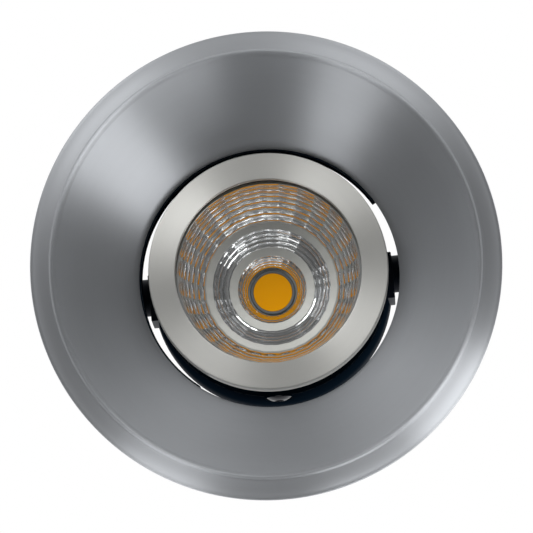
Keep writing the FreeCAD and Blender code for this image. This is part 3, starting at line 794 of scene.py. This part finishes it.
@dataclass(frozen=True)
class Easing:
    """How the hard edges of a CAD form are eased."""

    sharper_than: float = 40.0
    segments: int = 2
    merge: float = 0.005 * MM
    flat: float = 0.5
    crease: float = 32.0

    def copy(self, node: str, width: float) -> bpy.types.Object:
        """Copy a node's form, ease it and let it replace the node.

        Args:
            node: The CAD node.
            width: Width of the eased edge.

        Returns:
            The new piece.
        """
        source = frame["nodes"][node]
        deselect()
        piece = bpy.data.objects.new(f"{node}_eased", source.data.copy())
        bpy.context.collection.objects.link(piece)
        piece.matrix_world = source.matrix_world
        pick(piece)
        bpy.ops.object.mode_set(mode="EDIT")
        bpy.ops.mesh.select_all(action="SELECT")
        bpy.ops.mesh.remove_doubles(threshold=self.merge)
        bpy.ops.mesh.dissolve_limited(angle_limit=math.radians(self.flat))
        bpy.ops.object.mode_set(mode="OBJECT")
        bevel = piece.modifiers.new("eased_edges", "BEVEL")
        bevel.width = width
        bevel.segments = self.segments
        bevel.limit_method = "ANGLE"
        bevel.angle_limit = math.radians(self.sharper_than)
        bevel.use_clamp_overlap = True
        bevel.harden_normals = False
        bpy.ops.object.modifier_apply(modifier=bevel.name)
        smooth(piece, self.crease)
        flat_faces = piece.modifiers.new("flat_faces", "WEIGHTED_NORMAL")
        flat_faces.keep_sharp = True
        bpy.ops.object.modifier_apply(modifier=flat_faces.name)
        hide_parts(node)
        return settle(piece)


# ------------------------------------------------------------------------------------------------
# Sub-assemblies
# ------------------------------------------------------------------------------------------------


@dataclass
class TrimRing:
    """Rim, bead and deep cone, turned in one piece, with four screw bosses on its back."""

    flange_radius: float = 52.48 * MM
    back: float = -0.8 * MM
    edge_front: float = -2.0 * MM
    bevel_front: float = -3.7 * MM
    bevel_swell: float = 0.2 * MM
    bead_outer_radius: float = 48.2 * MM
    bead_inner_radius: float = 46.6 * MM
    bead_height: float = 0.66 * MM
    lip_rise: float = 0.9 * MM
    aperture_radius: float = 29.7 * MM
    aperture_height: float = 21.6 * MM
    aperture_edge: float = 0.10 * MM
    wall: float = 1.5 * MM
    collar_radius: float = 32.8 * MM
    edge_round: float = 0.35 * MM
    fine: float = 0.05 * MM
    finer: float = 0.03 * MM
    steps: int = 288
    boss_turns: tuple[float, ...] = (60, 120, 240, 300)
    boss_radius: float = 3.2 * MM
    boss_circle: float = 36.4 * MM
    boss_length: float = 9.0 * MM
    boss_skin: float = 0.6 * MM
    boss_sink: float = 0.9 * MM
    boss_sides: int = 40
    boss_crease: float = 40.0

    def slope(self) -> float:
        """How much wider the cone gets for each step down."""
        depth = self.aperture_height - self.bevel_front - self.lip_rise
        return (self.bead_inner_radius - self.aperture_radius) / depth

    def outline(self) -> Outline:
        """Draw the ring's section.

        Returns:
            The points.
        """
        slope = self.slope()
        bead_top = self.bevel_front + self.lip_rise
        across = self.wall * math.hypot(1, slope)
        collar_top = self.aperture_height + self.wall
        back_radius = self.aperture_radius + slope * (self.aperture_height - self.back) + across
        soft = self.edge_round
        bead_middle = (self.bead_outer_radius + self.bead_inner_radius) / 2
        bevel_middle = (self.flange_radius + self.bead_outer_radius) / 2
        bevel_depth = (self.edge_front + self.bevel_front) / 2 - self.bevel_swell
        points = [(self.flange_radius, self.back)]
        points += arc((self.flange_radius - soft, self.edge_front + soft), soft, 0, -70, 6)
        points += curve_through(
            (self.flange_radius - 1.5 * soft, self.edge_front - self.fine),
            (bevel_middle, bevel_depth),
            (self.bead_outer_radius, self.bevel_front), 8,
        )
        points += curve_through(
            (self.bead_outer_radius - self.fine, self.bevel_front - self.finer),
            (bead_middle, self.bevel_front - self.bead_height),
            (self.bead_inner_radius + self.finer, bead_top - self.fine), 12,
        )
        points += [
            (self.bead_inner_radius - slope * 2 * self.fine, bead_top + 2 * self.fine),
            (self.aperture_radius + slope * 2 * MM, self.aperture_height - 2 * MM),
            (self.aperture_radius + self.aperture_edge, self.aperture_height - 1.5 * self.aperture_edge),
            (self.aperture_radius, self.aperture_height + self.aperture_edge),
            (self.aperture_radius, collar_top),
            (self.collar_radius, collar_top),
            (self.collar_radius, self.aperture_height),
            (self.aperture_radius + across, self.aperture_height),
            (back_radius, self.back),
        ]
        return points

    def build(self, paint: Paintbox) -> None:
        """Make the ring with its bosses.

        Args:
            paint: The finishes.
        """
        ring = spin("trim_ring_turned", self.outline(), self.steps)
        smooth(ring, TURNED_CREASE)
        bosses = [self.boss(turn) for turn in self.boss_turns]
        pick(ring)
        for boss in bosses:
            boss.select_set(True)
        bpy.ops.object.join()
        settle(ring)
        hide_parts("trim_ring")
        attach(ring, Body.FIXED.value)
        paint.dress(ring, "brushed_nickel")
        log.info("trim ring: %d faces", len(ring.data.polygons))

    def boss(self, offset: float) -> bpy.types.Object:
        """Make one screw boss, with its open lower end sunk in the cone's wall.

        Args:
            offset: Angle from the pivots' line, in degrees.

        Returns:
            The boss.
        """
        turn = LAMP_PLACE.pivot_turn + math.radians(offset)
        middle = self.aperture_height + self.wall - self.boss_length / 2
        slope = self.slope()
        deselect()
        bpy.ops.mesh.primitive_cylinder_add(
            vertices=self.boss_sides, radius=self.boss_radius, depth=self.boss_length,
            location=(self.boss_circle * math.cos(turn), self.boss_circle * math.sin(turn), middle),
        )
        boss = bpy.context.object
        bpy.ops.object.mode_set(mode="EDIT")
        bpy.ops.mesh.select_all(action="DESELECT")
        bpy.ops.object.mode_set(mode="OBJECT")
        for face in boss.data.polygons:
            face.select = face.normal.z < -0.5
        bpy.ops.object.mode_set(mode="EDIT")
        bpy.ops.mesh.delete(type="FACE")
        bpy.ops.object.mode_set(mode="OBJECT")
        for vertex in boss.data.vertices:
            place = boss.matrix_world @ vertex.co
            reach = math.hypot(place.x, place.y)
            skin = self.aperture_radius + slope * (self.aperture_height - place.z) + self.boss_skin
            if place.z < middle and reach < skin:
                inside = reach - self.aperture_radius - self.boss_sink
                height = self.aperture_height - inside / slope
                vertex.co.z = max(height, place.z) - boss.location.z
        smooth(boss, self.boss_crease)
        return settle(boss)


@dataclass
class Bezel:
    """Brushed front ring of the lamp."""

    radius: float = 27.3 * MM
    thickness: float = 3.5 * MM
    lip_radius: float = 21.2 * MM
    lip_thickness: float = 1.6 * MM
    edge_round: float = 0.30 * MM
    lip_round: float = 0.20 * MM
    back_edge: float = 0.15 * MM
    spigot_inner: float = 23.0 * MM
    spigot_outer: float = 24.2 * MM
    spigot_length: float = 3.3 * MM
    steps: int = 256

    def outline(self) -> Outline:
        """Draw the ring's section.

        Returns:
            The points.
        """
        soft = self.lip_round
        edge = self.edge_round
        back = self.thickness
        points = [(self.lip_radius, self.lip_thickness)]
        points += arc((self.lip_radius + soft, soft), soft, 180, 262, 6)
        points += curve_through(
            (self.lip_radius + 1.4 * soft, 0.0),
            ((self.lip_radius + self.radius) / 2, 0.0),
            (self.radius - 1.3 * edge, 0.0), 6,
        )
        points += arc((self.radius - edge, edge), edge, -82, 0, 6)
        points += [
            (self.radius, back - self.back_edge),
            (self.radius - self.back_edge, back),
            (self.spigot_outer, back),
            (self.spigot_outer, back + self.spigot_length),
            (self.spigot_inner, back + self.spigot_length),
            (self.spigot_inner, self.lip_thickness),
        ]
        return points

    def build(self, paint: Paintbox) -> None:
        """Make the ring.

        Args:
            paint: The finishes.
        """
        ring = spin("bezel_ring_turned", self.outline(), self.steps)
        smooth(ring, TURNED_CREASE)
        settle(ring, LAMP_PLACE.matrix())
        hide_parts("bezel_ring")
        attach(ring, Body.LAMP.value)
        paint.dress(ring, "bezel_nickel")
        log.info("bezel: %d faces", len(ring.data.polygons))


@dataclass
class Tier:
    """One faceted band of the reflector."""

    start: tuple[float, float]
    end: tuple[float, float]
    rows: int
    bulge: float

    def point(self, share: float) -> tuple[float, float]:
        """Find a point down the band's section, which bulges a little.

        Args:
            share: How far down it is, from 0 to 1.

        Returns:
            Its radius and depth.
        """
        inset = self.start[0] - self.end[0]
        fall = self.end[1] - self.start[1]
        chord = math.hypot(inset, fall)
        swell = self.bulge * chord * 4 * share * (1 - share)
        return (
            self.start[0] - inset * share + swell * fall / chord,
            self.start[1] + fall * share + swell * inset / chord,
        )


@dataclass
class Reflector:
    """Three-tier mirror bowl with pillowed facets and two smooth ledges."""

    columns: int = 30
    flange_radius: float = 22.8 * MM
    wall: float = 0.7 * MM
    pillow_across: float = 0.030
    pillow_down: float = 0.042
    cells: int = 6
    mouth: float = 3.3 * MM
    flange_back: float = 4.1 * MM
    back_slant: float = 0.6
    back_shares: tuple[float, ...] = (1.0, 0.66, 0.33, 0.0)
    crease: float = 10.0
    tiers: list[Tier] = field(default_factory=lambda: [
        Tier((20.8 * MM, 3.3 * MM), (15.3 * MM, 20.6 * MM), 8, 0.07),
        Tier((13.8 * MM, 20.95 * MM), (9.9 * MM, 24.0 * MM), 5, 0.05),
        Tier((8.1 * MM, 24.35 * MM), (5.7 * MM, 27.6 * MM), 4, -0.04),
    ])

    def inside(self) -> tuple[Outline, list[int | None]]:
        """Draw the section of the mirror side.

        Returns:
            The points, and each one's place in its row, which is None on plain parts.
        """
        points: Outline = [(self.flange_radius, self.mouth)]
        cells: list[int | None] = [None]
        for tier in self.tiers:
            count = tier.rows * self.cells
            for step in range(count + 1):
                points.append(tier.point(step / count))
                cells.append(step % self.cells)
        return points, cells

    def build(self, paint: Paintbox) -> None:
        """Make the bowl.

        Args:
            paint: The finishes.
        """
        inner, cells = self.inside()
        last_radius, last_depth = inner[-1]
        outer = [(last_radius + self.wall, last_depth)]
        for tier in reversed(self.tiers):
            for share in self.back_shares:
                radius, depth = tier.point(share)
                outer.append((radius + self.wall, depth + self.wall * self.back_slant))
        rim = self.flange_back
        outer = [outer[0]] + [point for point in outer[2:] if point[1] > rim]
        outer += [(self.tiers[0].start[0] + self.wall, rim), (self.flange_radius, rim)]
        bowl = spin("reflector_faceted", inner + outer, self.columns * self.cells)
        self.pillow_facets(bowl, inner, cells)
        smooth(bowl, self.crease)
        settle(bowl, LAMP_PLACE.matrix())
        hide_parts("reflector")
        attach(bowl, Body.LAMP.value)
        paint.dress(bowl, "reflector_silver")
        log.info("reflector: %d faces", len(bowl.data.polygons))

    def pillow_facets(self, bowl: bpy.types.Object, inner: Outline, cells: list[int | None]) -> None:
        """Press each facet of the mirror side into a shallow pillow.

        Args:
            bowl: The bowl.
            inner: Section of its mirror side.
            cells: Each point's place in its row.
        """
        lookup = {}
        for (radius, depth), cell in zip(inner, cells):
            if cell is not None:
                lookup[(round(radius * 1e6), round(depth * 1e6))] = cell
        for vertex in bowl.data.vertices:
            radius = math.hypot(vertex.co.x, vertex.co.y)
            cell = lookup.get((round(radius * 1e6), round(vertex.co.z * 1e6)))
            if cell is None:
                continue
            turn = math.atan2(vertex.co.y, vertex.co.x) / math.tau * self.columns
            across = turn - math.floor(turn + 1e-6)
            down = cell / self.cells
            width = math.tau * radius / self.columns
            push = self.pillow_across * width * 4 * across * (1 - across)
            rise = self.pillow_down * width * 4 * down * (1 - down)
            factor = 1 - (push + rise) / radius
            vertex.co.x *= factor
            vertex.co.y *= factor


@dataclass
class Housing:
    """Black ring behind the bezel."""

    radius: float = 25.3 * MM
    start: float = 3.5 * MM
    end: float = 12.0 * MM
    spigot: float = 23.9 * MM
    spigot_end: float = 17.6 * MM
    bore: float = 21.95 * MM
    rim: float = 4.1 * MM
    rim_radius: float = 22.8 * MM
    groove_radius: float = 24.3 * MM
    groove_end: float = 6.9 * MM
    steps: int = 192

    def build(self, paint: Paintbox) -> None:
        """Make the ring.

        Args:
            paint: The finishes.
        """
        outline = [
            (self.groove_radius, self.start), (self.radius, self.start), (self.radius, self.end),
            (self.spigot, self.end), (self.spigot, self.spigot_end), (self.bore, self.spigot_end),
            (self.bore, self.rim), (self.rim_radius, self.rim), (self.rim_radius, self.groove_end),
            (self.groove_radius, self.groove_end),
        ]
        ring = spin("front_housing_turned", outline, self.steps)
        smooth(ring, TURNED_CREASE)
        settle(ring, LAMP_PLACE.matrix())
        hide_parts("front_housing")
        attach(ring, Body.LAMP.value)
        paint.dress(ring, "black_coat")
        log.info("housing: %d faces", len(ring.data.polygons))


@dataclass
class LightSource:
    """Phosphor disc and the pale wall round it."""

    radius: float = 4.5 * MM
    dam_radius: float = 5.3 * MM
    board: float = 28.8 * MM
    thickness: float = 0.6 * MM
    dam_thickness: float = 0.7 * MM
    flat_share: float = 0.9
    edge: float = 0.05 * MM
    edge_fall: float = 0.03 * MM
    side_fall: float = 0.1 * MM
    crease: float = 50.0
    steps: int = 96

    def build(self, paint: Paintbox) -> None:
        """Make both pieces.

        Args:
            paint: The finishes.
        """
        face = self.board - self.thickness
        disc = spin("cob_phosphor_disc", [
            (0.0, face), (self.radius * self.flat_share, face),
            (self.radius - self.edge, face + self.edge_fall),
            (self.radius, face + self.side_fall), (self.radius, self.board), (0.0, self.board),
        ], self.steps)
        smooth(disc, self.crease)
        top = self.board - self.dam_thickness
        middle = (self.radius + self.dam_radius) / 2
        half = (self.dam_radius - self.radius) / 2
        wall = spin("cob_dam_bead", [
            (self.radius, self.board), *arc((middle, top + half), half, 180, 360, 10),
            (self.dam_radius, self.board),
        ], self.steps)
        smooth(wall, self.crease)
        for piece, node, slot in (
            (disc, "cob_phosphor", "phosphor_yellow"), (wall, "cob_dam", "dam_silicone"),
        ):
            settle(piece, LAMP_PLACE.matrix())
            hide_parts(node)
            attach(piece, Body.LAMP.value)
            paint.dress(piece, slot)
        log.info("light source made")


def ease_nodes(paint: Paintbox, body: Body, widths: dict[str, float]) -> None:
    """Replace nodes with their eased forms.

    Args:
        paint: The finishes.
        body: Body that the pieces ride on.
        widths: Width of the eased edge of each node.
    """
    easing = Easing()
    for node, width in widths.items():
        piece = easing.copy(node, width)
        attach(piece, body.value)
        paint.dress(piece, paint.slots[node])
        log.info("%s: %d faces", node, len(piece.data.polygons))


@dataclass
class Carrier:
    """Black ring over the aperture, with its screws and the lamp's pivots."""

    ring_edge: float = 0.15 * MM
    screw_edge: float = 0.12 * MM
    bush_edge: float = 0.20 * MM
    washer_edge: float = 0.08 * MM

    def build(self, paint: Paintbox) -> None:
        """Make the ring, its screws and the pivots.

        Args:
            paint: The finishes.
        """
        ease_nodes(paint, Body.FIXED, {"carrier_ring": self.ring_edge, "carrier_screws": self.screw_edge})
        ease_nodes(paint, Body.LAMP, {
            "pivot_bushes": self.bush_edge, "pivot_washers": self.washer_edge,
            "pivot_screws": self.screw_edge,
        })


@dataclass
class SoffitClip:
    """Sprung clip that holds the light in the soffit board."""

    number: int
    body: Body
    sheet_edge: float = 0.10 * MM
    pin_edge: float = 0.15 * MM
    sleeve_edge: float = 0.35 * MM

    def build(self, paint: Paintbox) -> None:
        """Make the bracket, pin, arm and sleeve.

        Args:
            paint: The finishes.
        """
        ease_nodes(paint, Body.FIXED, {
            f"clip_bracket_{self.number}": self.sheet_edge, f"clip_pin_{self.number}": self.pin_edge,
        })
        ease_nodes(paint, self.body, {
            f"clip_arm_{self.number}": self.sheet_edge, f"clip_sleeve_{self.number}": self.sleeve_edge,
        })


@dataclass
class RearBody:
    """Cup and finned heat sink behind the lamp, with the screws round the cup."""

    cup_edge: float = 0.35 * MM
    fin_edge: float = 0.18 * MM
    screw_edge: float = 0.12 * MM

    def build(self, paint: Paintbox) -> None:
        """Make the cup, the heat sink and the screws.

        Args:
            paint: The finishes.
        """
        ease_nodes(paint, Body.LAMP, {
            "rear_housing": self.cup_edge, "heat_sink": self.fin_edge, "side_screws": self.screw_edge,
        })


@dataclass
class CableEntry:
    """Terminal cover on the heat sink, with its screws and the cable gland."""

    cover_edge: float = 0.50 * MM
    gland_edge: float = 0.30 * MM
    screw_edge: float = 0.12 * MM

    def build(self, paint: Paintbox) -> None:
        """Make the cover, the gland and the screws.

        Args:
            paint: The finishes.
        """
        ease_nodes(paint, Body.LAMP, {
            "terminal_cover": self.cover_edge, "gland_body": self.gland_edge,
            "gland_nut": self.gland_edge, "cover_screws": self.screw_edge,
        })


# ------------------------------------------------------------------------------------------------
# Studio
# ------------------------------------------------------------------------------------------------


@dataclass(frozen=True)
class Softbox:
    """A soft lamp that faces the light, with the angles of the photograph."""

    name: str
    azimuth: float
    below: float
    size: tuple[float, float]
    radiance: float
    distance: float = 0.8

    def place(self) -> None:
        """Hang the lamp, its azimuth round Z and its lean from straight down in degrees."""
        turn = math.radians(-self.azimuth)
        lean = math.radians(self.below)
        direction = Vector((
            math.sin(lean) * math.cos(turn), math.sin(lean) * math.sin(turn), -math.cos(lean),
        ))
        data = bpy.data.lights.new(self.name, "AREA")
        data.shape = "RECTANGLE"
        data.size, data.size_y = self.size
        data.energy = self.radiance * math.pi * self.size[0] * self.size[1]
        lamp = bpy.data.objects.new(self.name, data)
        bpy.context.collection.objects.link(lamp)
        side = Vector((-math.sin(turn), math.cos(turn), 0))
        up = direction.cross(side)
        face = Matrix((side, up, direction)).transposed().to_4x4()
        lamp.matrix_world = Matrix.Translation(direction * self.distance) @ face


SOFTBOXES = (
    Softbox("softbox_low_right", 329, 62, (0.38, 0.46), 4.1),
    Softbox("softbox_low_left", 239, 64, (0.30, 0.46), 2.6),
    Softbox("softbox_side", 296, 85, (0.34, 0.26), 3.2),
    Softbox("softbox_up_left", 132, 36, (0.27, 0.32), 4.4),
    Softbox("softbox_up_right", 70, 36, (0.25, 0.30), 3.7),
    Softbox("softbox_top", 100, 34, (0.30, 0.22), 1.2),
)


@dataclass
class Studio:
    """Camera, lamps, floor and background."""

    distance: float = 900.0 * MM
    target_height: float = -2.0 * MM
    flange_pixels: float = 473.1
    flange_width: float = 105.0 * MM
    image_pixels: float = 533.0
    sensor: float = 36.0
    clip: tuple[float, float] = (0.01, 120.0)
    look: tuple[float, float, float] = (-0.0333, -0.1284, 0.991)
    shift: tuple[float, float] = (0.8, -2.7)
    all_round_light: float = 0.22
    floor_height: float = -3000.0 * MM
    floor_size: float = 60000.0 * MM
    floor_shades: tuple[Colour, Colour] = ((0.80, 0.80, 0.80), (0.82, 0.82, 0.82))
    floor_roughness: float = 0.9
    floor_patches: float = 3.0

    def camera(self) -> None:
        """Place the camera below the light, looking up into it."""
        data = bpy.data.cameras.new("camera")
        data.sensor_width = self.sensor
        focal_pixels = self.flange_pixels / self.flange_width * self.distance
        data.lens = focal_pixels * self.sensor / self.image_pixels
        data.clip_start, data.clip_end = self.clip
        data.shift_x, data.shift_y = (pixels / self.image_pixels for pixels in self.shift)
        camera = bpy.data.objects.new("camera", data)
        bpy.context.collection.objects.link(camera)
        forward = Vector(self.look).normalized()
        right = forward.cross(Vector((0, -1, 0))).normalized()
        up = right.cross(forward)
        turn = Matrix((right, up, -forward)).transposed().to_4x4()
        target = Vector((0, 0, self.target_height))
        camera.matrix_world = Matrix.Translation(target - forward * self.distance) @ turn
        bpy.context.scene.camera = camera

    def world(self) -> None:
        """White background, with a dimmer light from all round."""
        recipe = Recipe("studio", world=True)
        seen_by = recipe.node("ShaderNodeLightPath").outputs
        seen = recipe.math("MAXIMUM", seen_by["Is Camera Ray"], seen_by["Is Glossy Ray"])
        seen = seen.math("MAXIMUM", seen_by["Is Transmission Ray"])
        strength = recipe.node("ShaderNodeMapRange", {}, {
            "Value": seen, "To Min": self.all_round_light, "To Max": 1.0,
        })
        background = recipe.node("ShaderNodeBackground", {}, {
            "Color": (1.0, 1.0, 1.0), "Strength": strength.outputs["Result"],
        })
        bpy.context.scene.world = recipe.finish(background)

    def floor(self) -> None:
        """Pale floor far below."""
        deselect()
        bpy.ops.mesh.primitive_plane_add(size=self.floor_size, location=(0, 0, self.floor_height))
        floor = bpy.context.object
        floor.name = "floor"
        recipe = Recipe("floor_pale")
        patches = recipe.noise(recipe.coordinates(), self.floor_patches)
        floor.data.materials.append(recipe.principled(
            Base_Color=recipe.blend(patches, *self.floor_shades), Roughness=self.floor_roughness,
        ))

    def build(self) -> None:
        """Set the whole studio."""
        bpy.context.scene.view_settings.view_transform = "Standard"
        self.camera()
        for softbox in SOFTBOXES:
            softbox.place()
        self.world()
        self.floor()


def main() -> None:
    """Build the scene."""
    logging.basicConfig(level=logging.INFO, format="%(name)s: %(message)s")
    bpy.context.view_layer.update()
    paint = Paintbox()
    Studio().build()
    paint.dress_nodes()
    TrimRing().build(paint)
    Bezel().build(paint)
    Reflector().build(paint)
    Housing().build(paint)
    LightSource().build(paint)
    Carrier().build(paint)
    SoffitClip(1, Body.CLIP_1).build(paint)
    SoffitClip(2, Body.CLIP_2).build(paint)
    RearBody().build(paint)
    CableEntry().build(paint)


if __name__ == "__main__":
    main()
